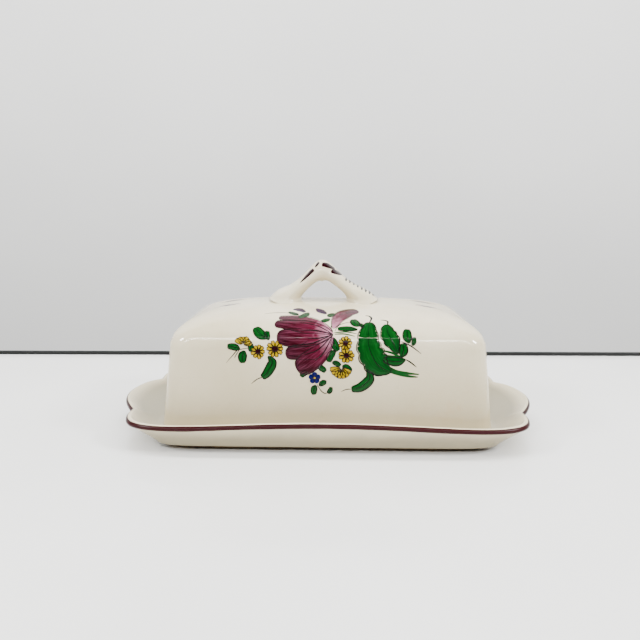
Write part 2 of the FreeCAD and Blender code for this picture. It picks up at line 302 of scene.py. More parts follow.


# %% [markdown]
# The skin of the cover starts at the ridge inside, runs down the inner walls, round the foot
# and up the outside to the ridge again. The foot was wiped clean, so it shows bare clay,
# coloured dark as painted shade.

# %% The cover
FOOT_IN, FOOT_ROUND = 0.15, 0.9
outside = cover_side(0)
inside = cover_side(WALL)
foot_round = []
for swing in (0, 30, 60, 90):
    s, c = math.sin(math.radians(swing)), math.cos(math.radians(swing))
    inset = FOOT_IN + FOOT_ROUND * (1 - c)
    foot_round.append((inset, 1 - s))
cover_lines = inside[::-1]
for inset, height in foot_round:
    cover_lines.append(cover_line(COVER_A - WALL + inset, COVER_B - WALL + inset,
                                  max(CORNER - WALL + inset, LEAST_CORNER), COVER_FOOT + height))
bare_shaded_start = len(cover_lines) - 2
for inset, height in foot_round[::-1]:
    cover_lines.append(cover_line(COVER_A - inset, COVER_B - inset, CORNER - inset,
                                  COVER_FOOT + height))
bare_shaded_end = len(cover_lines) - 3
cover_lines += outside
verts, faces = skin(cover_lines)
cover = link("cover_glazed", verts, faces, "cover", "cover_shell")
around = len(cover_lines[0])
for face in cover.data.polygons:
    face.material_index = 1 if bare_shaded_start * around <= face.index < bare_shaded_end * around else 0
print("cover faces", len(cover.data.polygons))

# %% [markdown]
# The handle is a strap of clay rolled like a bough and bent to a blunt peak. Each foot was
# pressed on the roof and its edge smoothed down with a wet finger, so it spreads just where
# it meets the roof.

# %% The handle
# along the span (-1 left foot, 1 right foot), height, climb in degrees, thickness and width shares
BOUGH = [(-1.03, -0.07, 76, 2.20, 1.28), (-0.93, 0.11, 64, 1.80, 1.18), (-0.74, 0.29, 48, 1.22, 1.06),
         (-0.50, 0.56, 47, 1.00, 1.00), (-0.28, 0.80, 42, 1.14, 0.98), (-0.063, 0.948, 0, 1.58, 0.98),
         (0.18, 0.82, -38, 1.10, 0.98), (0.40, 0.60, -42, 0.94, 1.00), (0.64, 0.36, -47, 1.04, 1.05),
         (0.86, 0.15, -62, 1.60, 1.15), (1.00, -0.07, -76, 2.10, 1.28)]
SPAN, RISE, MIDDLE = 42.0, 16.4, -1.98
STRAP_WIDE, STRAP_THICK = 18.0, 7.4
RIDGE_Z = COVER_FOOT + WALL_HEIGHT + ROOF_RISE
bvh_cover = BVHTree.FromPolygons([v.co / MM for v in cover.data.vertices],
                                 [tuple(p.vertices) for p in cover.data.polygons])


def smooth_through(points, t):
    """A point on the smooth curve through points (tuples), t from 0 to 1."""
    last = len(points) - 1
    i = min(int(t * last), last - 1)
    u = t * last - i
    p = [Vector(points[min(max(k, 0), last)]) for k in (i - 1, i, i + 1, i + 2)]
    return 0.5 * (2 * p[1] + (p[2] - p[0]) * u + (2 * p[0] - 5 * p[1] + 4 * p[2] - p[3]) * u ** 2
                  + (3 * p[1] - p[0] - 3 * p[2] + p[3]) * u ** 3)


SPREAD, SPREAD_HEIGHT = 1.3, 2.4     # how far each foot is smeared out, and from how high
bough_lines = []
for t in steps(90):
    centre = smooth_through([(row[0], row[1], row[2] / 100) for row in BOUGH], t)
    shares = smooth_through([(row[3], row[4], 0) for row in BOUGH], t)
    climb = math.radians(centre.z * 100)
    middle = Vector((MIDDLE + SPAN / 2 * centre.x, 0, RIDGE_Z + RISE * centre.y))
    across = Vector((-math.sin(climb), 0, math.cos(climb)))
    line = []
    for angle in steps(64, 0, 2 * math.pi)[:-1]:
        c, s = math.cos(angle), math.sin(angle)
        point = middle + across * (s * STRAP_THICK / 2 * shares.x)
        point += Vector((0, 1, 0)) * (c * STRAP_WIDE / 2 * shares.y)
        line.append(point)
    bough_lines.append(line)
foot_middles = [Vector((MIDDLE + SPAN / 2 * BOUGH[k][0], 0, RIDGE_Z)) for k in (0, -1)]
for row, line in enumerate(bough_lines):
    foot = foot_middles[0 if row < len(bough_lines) / 2 else 1]
    for i, point in enumerate(line):
        nearest, normal, _, _ = bvh_cover.find_nearest(point)
        above = (point - nearest).dot(normal)
        if above < SPREAD_HEIGHT:
            out = point - foot
            out.z = 0
            push = SPREAD * (1 - max(above, 0) / SPREAD_HEIGHT) ** 2
            line[i] = point + out.normalized() * push
verts, faces = skin(bough_lines)
handle = link("handle_bough", verts, faces, "cover", "handle")
print("handle faces", len(handle.data.polygons))

# %% [markdown]
# One function adds any shader node. Colours are given as the hex codes seen on a screen and
# turned into the linear values the renderer wants.


# %% Node helpers
def colour(code):
    """A linear RGBA colour from an sRGB hex code."""
    parts = [int(code[i:i + 2], 16) / 255 for i in (1, 3, 5)]
    linear = [p / 12.92 if p <= 0.04045 else ((p + 0.055) / 1.055) ** 2.4 for p in parts]
    return (*linear, 1.0)


def add(tree, kind, inputs=None, stops=None, **settings):
    """One shader node, with its settings, its inputs and, for a ramp, its stops."""
    made = tree.nodes.new("ShaderNode" + kind)
    for name, value in settings.items():
        setattr(made, name, value)
    for name, value in (inputs or {}).items():
        if isinstance(value, bpy.types.NodeSocket):
            tree.links.new(value, made.inputs[name])
        else:
            made.inputs[name].default_value = value
    if stops:
        ramp = made.color_ramp
        while len(ramp.elements) < len(stops):
            ramp.elements.new(0.5)
        for element, (place, code) in zip(ramp.elements, stops):
            element.position = place
            element.color = colour(code)
    return made


def new_material(name):
    """An empty node material and its output."""
    made = bpy.data.materials.new(name)
    made.use_nodes = True
    made.node_tree.nodes.clear()
    return made, made.node_tree, add(made.node_tree, "OutputMaterial")


def mixed(tree, factor, a, b):
    """Two colours mixed by a factor."""
    return add(tree, "Mix", {0: factor, 6: a, 7: b}, data_type="RGBA").outputs[2]


# %% [markdown]
# Tin glaze is opaque and a little warm. It is thicker in some places than in others, which
# shows as faint clouds; iron in the clay comes through as specks and, where the piece has been
# used a long time, as pale brown stains. The surface is glossy with a soft orange-peel wave,
# and crossed by hair-fine crazing.


# %% Tin glaze
def tin_glaze(name, white, shade, stain_at, stain_size, seed, inner=None, low=None):
    """A tin glaze. stain_at is the middle of the stained part in mm, inner the colour of the painted shade
    inside.

    low is painted shade that makes the glaze darker and warmer towards the bottom: its upper and
    lower height in mm, its colour and how much of it shows.
    """
    made, tree, output = new_material(name)
    place = add(tree, "TexCoord").outputs["Object"]
    moved = add(tree, "VectorMath", {0: place, 1: (seed * 0.37, seed * 0.11, 0)}).outputs[0]
    clouds = add(tree, "TexNoise", {"Vector": moved, "Scale": 28, "Detail": 5, "Roughness": 0.55})
    soft = add(tree, "MapRange", {0: clouds.outputs["Fac"], 1: 0.35, 2: 0.7}).outputs[0]
    tone = mixed(tree, soft, colour(white), colour(shade))

    # painted shade: the glaze turns darker and warmer towards the bottom
    if low:
        height = add(tree, "SeparateXYZ", {0: place}).outputs[2]
        drift = add(tree, "MapRange", {0: clouds.outputs["Fac"], 3: -6 * MM, 4: 6 * MM}).outputs[0]
        level = add(tree, "Math", {0: height, 1: drift}, operation="ADD").outputs[0]
        low_shade = add(tree, "MapRange", {0: level, 1: low[0] * MM, 2: low[1] * MM, 3: 0, 4: low[3]},
                     interpolation_type="SMOOTHSTEP").outputs[0]
        tone = mixed(tree, low_shade, tone, colour(low[2]))

    # painted shade inside the dish, as strong as the inside attribute says
    if inner:
        mark = add(tree, "Attribute", attribute_name="inside").outputs["Fac"]
        tone = mixed(tree, mark, tone, colour(inner))

    # pale brown stains in one part of the piece
    offset = add(tree, "VectorMath", {0: place, 1: [v * MM for v in stain_at]}, operation="SUBTRACT")
    reach = add(tree, "VectorMath", {0: offset.outputs[0], 1: [1 / (v * MM) for v in stain_size]},
                operation="MULTIPLY")
    near = add(tree, "VectorMath", {0: reach.outputs[0]}, operation="LENGTH").outputs["Value"]
    inside_it = add(tree, "MapRange", {0: near, 1: 1.0, 2: 0.2, 3: 0, 4: 1}).outputs[0]
    patches = add(tree, "TexNoise", {"Vector": moved, "Scale": 150, "Detail": 6, "Roughness": 0.7})
    patchy = add(tree, "MapRange", {0: patches.outputs["Fac"], 1: 0.47, 2: 0.75, 3: 0, 4: 0.5})
    stained = add(tree, "Math", {0: inside_it, 1: patchy.outputs[0]}, operation="MULTIPLY").outputs[0]
    tone = mixed(tree, stained, tone, colour("#BFA680"))

    # iron specks and pinholes, a few of them
    cells = add(tree, "TexVoronoi", {"Vector": moved, "Scale": 130})
    chosen = add(tree, "SeparateColor", {0: cells.outputs["Color"]}).outputs[0]
    rare = add(tree, "Math", {0: chosen, 1: 0.955}, operation="GREATER_THAN").outputs[0]
    dot = add(tree, "MapRange", {0: cells.outputs["Distance"], 1: 0.055, 2: 0.02, 3: 0, 4: 0.55})
    speck = add(tree, "Math", {0: rare, 1: dot.outputs[0]}, operation="MULTIPLY").outputs[0]
    tone = mixed(tree, speck, tone, colour("#6E5A45"))

    # crazing, about 7 mm apart and almost too fine to see
    wander = add(tree, "TexNoise", {"Vector": moved, "Scale": 90, "Detail": 2})
    bent = mixed(tree, 0.012, moved, wander.outputs["Color"])
    craze = add(tree, "TexVoronoi", {"Vector": bent, "Scale": 145}, feature="DISTANCE_TO_EDGE")
    hair = add(tree, "MapRange", {0: craze.outputs["Distance"], 1: 0.02, 2: 0.0, 3: 0, 4: 0.09})
    tone = mixed(tree, hair.outputs[0], tone, colour("#8C8069"))

    wave = add(tree, "TexNoise", {"Vector": moved, "Scale": 95, "Detail": 2, "Roughness": 0.4})
    ripple = add(tree, "Bump", {"Height": wave.outputs["Fac"], "Strength": 0.10, "Distance": 0.0006})
    pin = add(tree, "Bump", {"Height": speck, "Strength": 0.25, "Distance": 0.0003,
                             "Normal": ripple.outputs[0]}, invert=True)
    handled = add(tree, "MapRange", {0: clouds.outputs["Fac"], 1: 0.3, 2: 0.7, 3: 0.08, 4: 0.15})
    shader = add(tree, "BsdfPrincipled", {
        "Base Color": tone, "Roughness": handled.outputs[0], "IOR": 1.54,
        "Normal": pin.outputs[0]})
    tree.links.new(shader.outputs[0], output.inputs[0])
    return made


def bare_clay(name):
    """Fired buff earthenware without glaze: matt and gritty, coloured dark as painted shade."""
    made, tree, output = new_material(name)
    place = add(tree, "TexCoord").outputs["Object"]
    grit = add(tree, "TexNoise", {"Vector": place, "Scale": 900, "Detail": 4})
    shade_clouds = add(tree, "TexNoise", {"Vector": place, "Scale": 60, "Detail": 4})
    tone = add(tree, "ValToRGB", {0: shade_clouds.outputs["Fac"]},
               stops=((0.3, "#4E4030"), (0.7, "#76634A")))
    rough = add(tree, "Bump", {"Height": grit.outputs["Fac"], "Strength": 0.5, "Distance": 0.0004})
    shader = add(tree, "BsdfPrincipled", {"Base Color": tone.outputs[0], "Roughness": 0.85,
                                          "IOR": 1.5, "Normal": rough.outputs[0]})
    tree.links.new(shader.outputs[0], output.inputs[0])
    return made


# the bare clay is coloured dark: painted shade under the dish and on the cover's foot
biscuit_and_shade = bare_clay("bare_clay_painted_shade")
GLAZE_WHITE, GLAZE_SHADE = "#D9CEB2", "#CABE9E"
DISH_INSIDE_SHADE = "#8C8468"          # painted shade on the inside of the dish, where its ends lie in shade
HANDLE_WHITE, HANDLE_SHADE = "#D9CFB6", "#C6BB9A"
# painted shade towards the bottom of the dish and of the cover
DISH_LOW_SHADE = (17, 7, "#82785C", 0.8)
COVER_LOW_SHADE = (52, 10, "#9C8E68", 0.5)
dish_glaze = tin_glaze("tin_glaze_dish", GLAZE_WHITE, GLAZE_SHADE, stain_at=(60, -40, 8),
                       stain_size=(60, 20, 8), seed=1, inner=DISH_INSIDE_SHADE, low=DISH_LOW_SHADE)
cover_glaze = tin_glaze("tin_glaze_cover", GLAZE_WHITE, GLAZE_SHADE, stain_at=(63, -46, 20),
                        stain_size=(30, 12, 18), seed=2, low=COVER_LOW_SHADE)
handle_glaze = tin_glaze("tin_glaze_handle", HANDLE_WHITE, HANDLE_SHADE, stain_at=(-20, 0, 66),
                         stain_size=(10, 9, 4), seed=3)
for moulding, glaze in ((dish, dish_glaze), (cover, cover_glaze)):
    moulding.data.materials.append(glaze)
    moulding.data.materials.append(biscuit_and_shade)
handle.data.materials.append(handle_glaze)

# %% [markdown]
# The flowers are painted over the fired glaze in enamels and fired again at a low heat, so each
# brush stroke stands a few hundredths of a millimetre proud. A stroke is a strip along the
# path of the brush, domed across. Its own coordinates run from the start of the stroke (0) to
# its end (1), and from one side to the other, so the colour can thin out the way it does
# under a brush.

# %% Brush strokes
PROUD, TUCK = 0.05, 0.12     # how proud a stroke stands, and how far its underside is sunk
LAYER = 0.012                # each layer of paint stands this much above the one below
WALL_STEPS, ROOF_STEPS = 20, 400
strokes = {}                 # per paint: points, faces and stroke coordinates


def front_profile():
    """The cover's middle section from the foot up the front: distance from the shoulder, y, z."""
    rows = [(COVER_B - h * DRAFT, COVER_FOOT + h) for h in steps(WALL_STEPS, 0, WALL_HEIGHT)]
    for share in steps(ROOF_STEPS)[1:]:
        narrow = 1 - share
        rows.append(((COVER_B - WALL_HEIGHT * DRAFT) * narrow,
                     COVER_FOOT + WALL_HEIGHT + ROOF_RISE * math.sqrt(1 - narrow ** ROOF_ACROSS)))
    distance, out = 0.0, []
    for i, (y, z) in enumerate(rows):
        if i > 0:
            distance += math.hypot(y - rows[i - 1][0], z - rows[i - 1][1])
        out.append((distance, y, z))
    shoulder = out[WALL_STEPS][0]
    return [(d - shoulder, -y, z) for d, y, z in out]


PROFILE = front_profile()


def on_front(x, up, turned=1):
    """Where the brush touches the cover, x along it and up mm above the shoulder."""
    for low_row, high_row in zip(PROFILE, PROFILE[1:]):
        if up <= high_row[0]:
            break
    t = (up - low_row[0]) / (high_row[0] - low_row[0])
    y, z = blend(low_row[1], high_row[1], t), blend(low_row[2], high_row[2], t)
    nearest, normal, _, _ = bvh_cover.find_nearest(Vector((x * turned, y * turned, z)))
    return nearest, normal


def width_at(widths, t):
    """A smooth width from a few equally spaced ones."""
    return max(0.02, smooth_through([(w, 0, 0) for w in widths], t).x)


def shaped(widths, t, length, lobes=0):
    """The half width of a stroke at t, with rounded ends and, for a leaf, lobes."""
    half = width_at(widths, t)
    if lobes:
        half *= 1 + 0.18 * (abs(math.sin(t * lobes * math.pi)) - 0.5) * math.sin(t * math.pi) ** 0.5
    from_end = min(t, 1 - t) * length
    cap = min(1.0, from_end / max(half, 0.05))
    return max(0.02, half * math.sqrt(1 - (1 - cap) ** 2))


def brush_at(path3, t):
    """Where the middle of the brush is at t, and the direction across the stroke."""
    here = smooth_through(path3, t)
    ahead = smooth_through(path3, min(1, t + 0.01)) - smooth_through(path3, max(0, t - 0.01))
    return here, Vector((-ahead.y, ahead.x, 0)).normalized()


def path_length(path):
    """The length of a path through its points."""
    return sum(math.dist(a, b) for a, b in zip(path, path[1:]))


def stroke(paint, path, widths, layer=0, where=on_front, turned=1, lobes=0, side_points=9):
    """One stroke of the brush. path in mm, widths are half widths along it."""
    points, faces, uvs = strokes.setdefault(paint, ([], [], []))
    path3 = [(x, y, 0) for x, y in path]
    length = path_length(path)
    count = max(6, min(90, int(length / 0.35)))
    start = len(points)
    for t in steps(count):
        here, side = brush_at(path3, t)
        half = shaped(widths, t, length, lobes)
        for k in range(side_points):
            v = k / (side_points - 1)
            spot = here + side * (half * (2 * v - 1))
            nearest, normal = where(spot.x, spot.y, turned)
            rise = PROUD * (1 - abs(2 * v - 1) ** 3) + LAYER * layer
            points.append(nearest + normal * (rise - 0.02))
            uvs.append((t, v))
        for k in (side_points - 1, 0):
            spot = here + side * (half * (2 * k / (side_points - 1) - 1))
            nearest, normal = where(spot.x, spot.y, turned)
            points.append(nearest - normal * TUCK)
            uvs.append((t, k / (side_points - 1)))
    row = side_points + 2
    for i in range(count):
        for k in range(row):
            a, b = start + i * row + k, start + i * row + (k + 1) % row
            faces.append((a, b, b + row, a + row))
    for i, turn in ((0, -1), (count, 1)):
        faces.append(tuple(range(start + i * row, start + (i + 1) * row))[::turn])


def outline(path, widths, layer, turned=1, thick=0.16, share=(0.0, 1.0), lobes=0):
    """Fine dark lines down both edges of a stroke."""
    path3 = [(x, y, 0) for x, y in path]
    length = path_length(path)
    for direction in (-1, 1):
        edge = []
        for t in steps(60, *share):
            here, side = brush_at(path3, t)
            half = shaped(widths, t, length, lobes)
            edge.append((here + side * half * direction).xy)
        weight = thick * rng.uniform(0.8, 1.2)
        stroke("dark", [tuple(p) for p in edge], (weight * 0.5, weight, weight * 0.7, weight),
               layer + 4, turned=turned, side_points=5)


def leaf(path, widths, turned=1, layer=1, lobes=0, veined=True):
    """A green leaf with a dark edge and a midrib."""
    stroke("green", path, widths, layer, turned=turned, lobes=lobes, side_points=13)
    outline(path, widths, layer, turned, 0.27, lobes=lobes)
    if veined:
        stroke("dark_green", path, (0.14, 0.24, 0.18, 0.06), layer + 4, turned=turned, side_points=5)


LINE_SPREAD = 2.0            # a fine brush spreads to this many times its set half width


def line(path, thick, paint="dark", turned=1, layer=1):
    """A thin line that swells in the middle and tapers at both ends."""
    half = thick * LINE_SPREAD
    stroke(paint, path, (half * 0.5, half, half * 0.9, half * 0.35), layer, turned=turned,
           side_points=5)


# %% [markdown]
# The bouquet: one large crimson flower lying on its side, small yellow daisies, a blue flower,
# violet buds and leafy twigs, painted freehand in the manner that many country faience
# workshops share. Distances are in mm: along the cover, and up from its shoulder.


# %% Flowers
def daisy(x, y, radius, turned=1, petals=9, squash=1.0, begin=0.0, sweep=1.0, heart=True):
    """A yellow daisy: short fat petals, each outlined, round a crimson heart."""
    for k in range(petals):
        angle = begin + (k + rng.uniform(-0.1, 0.1)) / petals * 2 * math.pi * sweep
        c, s = math.cos(angle), math.sin(angle) * squash
        reach = radius * rng.uniform(0.93, 1.05)
        path = [(x + c * reach * f, y + s * reach * f) for f in (0.2 if heart else 0.05, 0.6, 1.0)]
        half = (1.9 if heart else 1.35) * radius / petals
        widths = (half * 0.5, half, half * 1.1, half * 0.8)
        stroke("yellow", path, widths, 3, turned=turned, side_points=7)
        outline(path, widths, 3, turned, 0.24)
    if heart:
        stroke("crimson_dark", [(x - 0.36 * radius, y), (x, y), (x + 0.36 * radius, y)],
               [0.36 * radius] * 3, 8, turned=turned)


def small_flower(x, y, radius, turned=1):
    """A blue flower of five round petals with a yellow heart."""
    for k in range(5):
        angle = math.radians(18 + 72 * k)
        c, s = math.cos(angle), math.sin(angle)
        path = [(x + c * radius * f, y + s * radius * f) for f in (0.12, 0.6, 1.0)]
        stroke("blue", path, (0.35, radius * 0.42, radius * 0.3), 3, turned=turned)
        outline(path, (0.35, radius * 0.42, radius * 0.3), 3, turned, 0.1)
    stroke("yellow", [(x - 0.55, y), (x, y), (x + 0.55, y)], [0.55] * 3, 8, turned=turned)


BLOOM_BASE = (2.6, 5.6)
BLOOM = [   # petals from the tip to the base, and their half widths
    ([(-24.2, 17.2), (-15.0, 17.0), (-5.6, 13.6), (2.4, 6.8)], (2.1, 2.7, 2.9, 2.2, 0.6)),
    ([(-20.2, -3.8), (-10.5, -2.8), (-2.8, 0.2), (2.4, 5.0)], (3.0, 3.6, 4.8, 3.5, 0.7)),
    ([(-14.8, -11.4), (-9.0, -8.0), (-2.2, -2.2), (2.6, 4.6)], (3.8, 5.0, 4.8, 3.1, 0.6)),
    ([(-24.4, 4.4), (-14.5, 4.0), (-5.0, 4.4), (2.4, 5.4)], (3.6, 4.7, 4.4, 3.0, 0.6)),
    ([(-25.8, 12.4), (-15.6, 11.2), (-5.4, 9.4), (2.6, 6.0)], (2.6, 3.4, 4.3, 2.8, 0.6)),
]


def bloom(turned=1):
    """The large flower: five broad petals with dark veins running from the base."""
    for layer, (path, widths) in enumerate(BLOOM):
        stroke("crimson", path, widths, 2 * layer, turned=turned, side_points=21)
        outline(path, widths, 2 * layer, turned, 0.2, (0.04, 0.97))
    x0, y0 = BLOOM_BASE
    for end, bend in (((-13.5, 13.2), 1.6), ((-15.5, 7.4), 1.2), ((-17.0, 0.2), -1.6),
                      ((-11.5, -4.4), -2.4), ((-6.0, -7.2), -2.2), ((-9.5, 3.6), -0.8)):
        middle = ((x0 + end[0]) / 2, (y0 + end[1]) / 2 + bend)
        line([BLOOM_BASE, middle, end], 0.13, turned=turned, layer=14)


STEMS = [   # paths and half widths of the green stems
    ([(25.9, -7.4), (32.0, -11.6), (38.0, -12.8), (43.8, -13.3)], 0.5),
    ([(25.0, -10.4), (32.0, -12.8), (38.5, -14.2), (43.2, -14.6)], 0.45),
    ([(24.8, -2.2), (29.0, -2.6), (33.4, -4.4), (37.2, -6.4)], 0.36),
    ([(24.8, -4.4), (30.0, -4.6), (34.4, -5.0)], 0.3),
    ([(3.2, 5.8), (8.0, 6.0), (13.0, 4.8)], 0.26),
    ([(3.0, 6.6), (8.5, 7.2), (14.0, 6.2)], 0.26),
]
TENDRILS = [   # paths and half widths of the dark tendrils and tails
    ([(-36.4, -1.2), (-42.6, -2.4), (-45.6, -5.4), (-48.4, -8.6)], 0.15),
    ([(-42.0, -2.2), (-43.6, -4.6), (-44.4, -6.2)], 0.15),
    ([(-31.0, -15.4), (-33.6, -16.4), (-36.4, -18.6)], 0.16),
    ([(11.6, -20.8), (9.2, -20.9), (6.6, -22.0)], 0.14),
    ([(35.0, 2.4), (39.4, 0.4), (44.6, -3.4)], 0.22),
    ([(37.2, -6.2), (39.6, -7.6), (42.4, -9.8)], 0.24),
    ([(20.2, 13.6), (21.4, 17.4), (20.4, 19.6), (18.4, 20.2)], 0.34),
    ([(28.8, 12.2), (29.2, 14.6), (27.8, 15.8), (25.6, 16.0)], 0.30),
    ([(-5.0, -18.4), (-3.0, -21.6), (-1.0, -22.9), (0.8, -22.2)], 0.16),
    ([(-31.4, 21.2), (-26.0, 22.6), (-20.0, 22.4), (-14.6, 20.2)], 0.13),
    ([(2.6, 6.6), (1.6, 9.6), (2.2, 13.0)], 0.14),
    ([(3.4, 7.4), (5.4, 11.4), (9.6, 13.6), (13.6, 12.0)], 0.14),
]
SMALL_LEAVES = [   # base, bend and tip, and half widths
    ([(35.2, -5.2), (36.8, -2.0), (35.8, 1.6)], 1.9),
    ([(38.9, 1.6), (37.0, 5.0), (38.2, 9.2)], 1.9),
    ([(40.2, 0.4), (41.6, 2.4), (41.2, 4.6)], 0.9),
    ([(37.2, -6.2), (32.4, -8.8), (26.8, -6.0)], 1.9),
    ([(18.8, -11.2), (20.2, -15.6), (16.2, -19.6), (11.6, -20.8)], 2.1),
    ([(-28.4, -5.2), (-26.4, -8.2), (-28.6, -13.0), (-31.2, -15.6)], 2.0),
    ([(-29.2, 3.0), (-33.4, 5.6), (-34.8, 9.6)], 2.2),
    ([(-27.9, 2.6), (-29.8, 4.8), (-28.8, 7.4)], 1.2),
    ([(-41.8, -2.0), (-44.6, -0.4), (-47.8, -0.6)], 1.4),
    ([(-39.6, -2.6), (-41.4, -5.4), (-40.4, -8.6)], 1.8),
    ([(-36.0, 1.0), (-37.2, -1.0), (-36.4, -3.0)], 1.1),
    ([(2.8, 4.0), (2.6, 0.6), (5.0, -2.4)], 1.5),
    ([(3.8, -2.2), (0.6, -4.0), (0.6, -7.8)], 1.5),
    ([(2.2, -8.0), (4.4, -7.8), (6.2, -9.6)], 1.0),
    ([(7.0, -9.6), (9.4, -9.8), (11.4, -12.2)], 1.3),
    ([(-4.4, -10.4), (-2.6, -10.2), (-0.8, -12.4)], 1.2),
    ([(-9.4, -13.0), (-11.6, -12.8), (-12.6, -15.0)], 1.1),
    ([(-5.2, -19.0), (-7.2, -20.8), (-6.2, -23.6)], 1.3),
    ([(-3.8, -19.4), (-2.2, -17.0), (-0.4, -17.6)], 1.1),
    ([(0.0, -22.6), (1.8, -22.2), (1.8, -19.8)], 0.9),
    ([(-9.6, 23.0), (-10.6, 19.6), (-14.2, 17.6)], 1.5),
    ([(-14.4, 20.6), (-17.4, 21.8), (-19.6, 23.4)], 1.1),
    ([(1.0, 17.0), (-0.8, 15.0), (-3.2, 14.4)], 1.2),
    ([(0.6, 18.2), (1.0, 20.8), (3.4, 21.8)], 1.4),
    ([(15.8, 11.0), (12.4, 12.6), (12.4, 16.4)], 1.9),
    ([(17.6, 10.2), (15.6, 11.2), (16.0, 13.2)], 0.9),
    ([(14.4, 8.6), (9.6, 9.8), (4.8, 9.0)], 1.3),
]
BIG_LEAF = ([(30.4, -12.4), (23.6, -8.4), (19.4, 1.0), (20.4, 14.0)],
            (0.6, 3.4, 5.6, 6.0, 5.4, 4.0, 1.6))
SECOND_LEAF = ([(33.6, -3.6), (31.2, 1.6), (28.8, 6.8), (28.6, 12.4)], (0.4, 2.8, 3.9, 3.3, 1.0))
LOOSE_PETAL = ([(15.4, 25.4), (9.8, 23.4), (5.2, 17.0), (2.6, 9.0)], (2.6, 3.7, 4.2, 2.8, 0.5))
BUDS = ([(-17.6, 26.8), (-14.4, 26.6), (-11.4, 23.4)], [(-5.8, 28.4), (-3.6, 25.0), (-0.8, 21.6)])
BUD_WIDTHS = (0.5, 2.0, 0.7)
LEAF_BEND = 0.45             # how far a leaf follows its bend, where 1 is all the way


def bouquet(turned=1):
    """The whole bouquet on one side of the cover. turned is -1 for the back."""
    t = turned
    # stems first, so that everything else lies over them
    for path, thick in STEMS:
        line(path, thick, "green", t, 0)
    for path, thick in TENDRILS:
        line(path, thick, "dark", t, 0)
    # violet buds
    for path in BUDS:
        stroke("violet", path, BUD_WIDTHS, 1, turned=t)
        outline(path, BUD_WIDTHS, 1, t, 0.1)
    # the loose petal, then the large flower
    stroke("crimson", *LOOSE_PETAL, 1, turned=t, side_points=17)
    outline(*LOOSE_PETAL, 1, t, 0.14, (0.1, 0.97))
    bloom(t)
    # the leaves: base, bend, tip
    leaf(*BIG_LEAF, t, lobes=7)
    leaf(*SECOND_LEAF, t, lobes=4)
    for path, width in SMALL_LEAVES:
        if len(path) == 3:
            (x0, y0), (x1, y1), (x2, y2) = path
            bend = (blend((x0 + x2) / 2, x1, LEAF_BEND), blend((y0 + y2) / 2, y1, LEAF_BEND))
            path = [path[0], bend, path[2]]
        leaf(path, (0.3, width, width * 1.05, width * 0.6), t)
    daisy(-25.1, -1.7, 4.1, t, 10)
    daisy(-33.2, -3.1, 3.5, t, 9)
    daisy(8.5, 1.4, 3.4, t, 9)
    daisy(9.0, -4.6, 3.7, t, 9)
    daisy(-40.3, 0.6, 4.3, t, 6, 0.85, 0.0, 0.5, False)
    daisy(6.6, -10.9, 5.2, t, 7, 0.95, math.pi * 1.02, 0.5, False)
    small_flower(-6.1, -15.5, 2.9, t)


bouquet()
bouquet(-1)
print({name: len(parts[1]) for name, parts in strokes.items()})

# %% [markdown]
# On the handle the painter set comma strokes either side of the bend and a row of dots down
# the right leg, like the bark of a twig. Small grey-violet sprigs lie at both ends of the roof.

# %% Handle and roof decoration
bvh_handle = BVHTree.FromPolygons([v.co / MM for v in handle.data.vertices],
                                  [tuple(p.vertices) for p in handle.data.polygons])


def on_roof(x, y, turned=1):
    """Where the brush touches the roof, straight below the point x, y."""
    nearest, normal, _, _ = bvh_cover.ray_cast(Vector((x, y, RIDGE_Z + 40)), Vector((0, 0, -1)))
    return nearest, normal


def on_handle(x, z, turned=1):
    """Where the brush touches the handle's front, x along it and z high, kept off its outline."""
    for k in range(40):
        hit = bvh_handle.ray_cast(Vector((x, -40 * turned, z - 0.1 * k)), Vector((0, turned, 0)))
        if hit[0] is not None:
            return hit[0], hit[1]
    return Vector((x, 0, z)), Vector((0, -turned, 0))


COMMAS = [   # the strokes either side of the bend, in x and z, and their half widths
    ([(-14.6, 76.4), (-10.8, 80.2), (-7.6, 83.4)], (0.2, 0.9, 0.9)),
    ([(-7.0, 84.4), (-5.8, 85.8), (-4.7, 87.0)], (0.3, 0.7, 0.4)),
    ([(-3.4, 85.9), (-0.6, 85.4), (3.6, 83.2)], (1.0, 1.3, 0.4)),
    ([(1.4, 82.6), (4.0, 81.9), (7.4, 80.2)], (0.9, 1.25, 0.4)),
]
DOTS, DOT_START, DOT_STEP = 8, (9.6, 77.9), (2.1, -1.16)
for side in (1, -1):
    for path, widths in COMMAS:
        stroke("crimson_dark", path, widths, 1, on_handle, side)
    for k in range(DOTS):
        x, z = DOT_START[0] + DOT_STEP[0] * k, DOT_START[1] + DOT_STEP[1] * k
        dot = [(x - 0.6, z + 0.3), (x, z), (x + 0.6, z - 0.35)]
        stroke("dark", dot, (0.75, 0.9, 0.75), 1, on_handle, side)
for side, flip in ((-1, -1), (1, -1), (-1, 1), (1, 1)):
    for dx, dy, reach in ((0, 0, 4.2), (1.6, 2.4, 3.2), (-2.6, 2.8, 3.4)):
        x, y = side * (52.6 + dx), flip * (9.0 - dy)
        stroke("violet", [(x - reach, y + 0.8), (x, y), (x + reach, y + 0.6)], (0.2, 0.8, 0.2), 1, on_roof)
    stroke("dark", [(side * 46, flip * 8.4), (side * 53, flip * 8), (side * 60, flip * 9)],
           (0.05, 0.14, 0.05), 2, on_roof, side_points=5)

# %% [markdown]
# The rim is banded in dark carmine while the dish turns on a wheel: the loaded brush leans on
# the outside of the lip, so the band wavers.

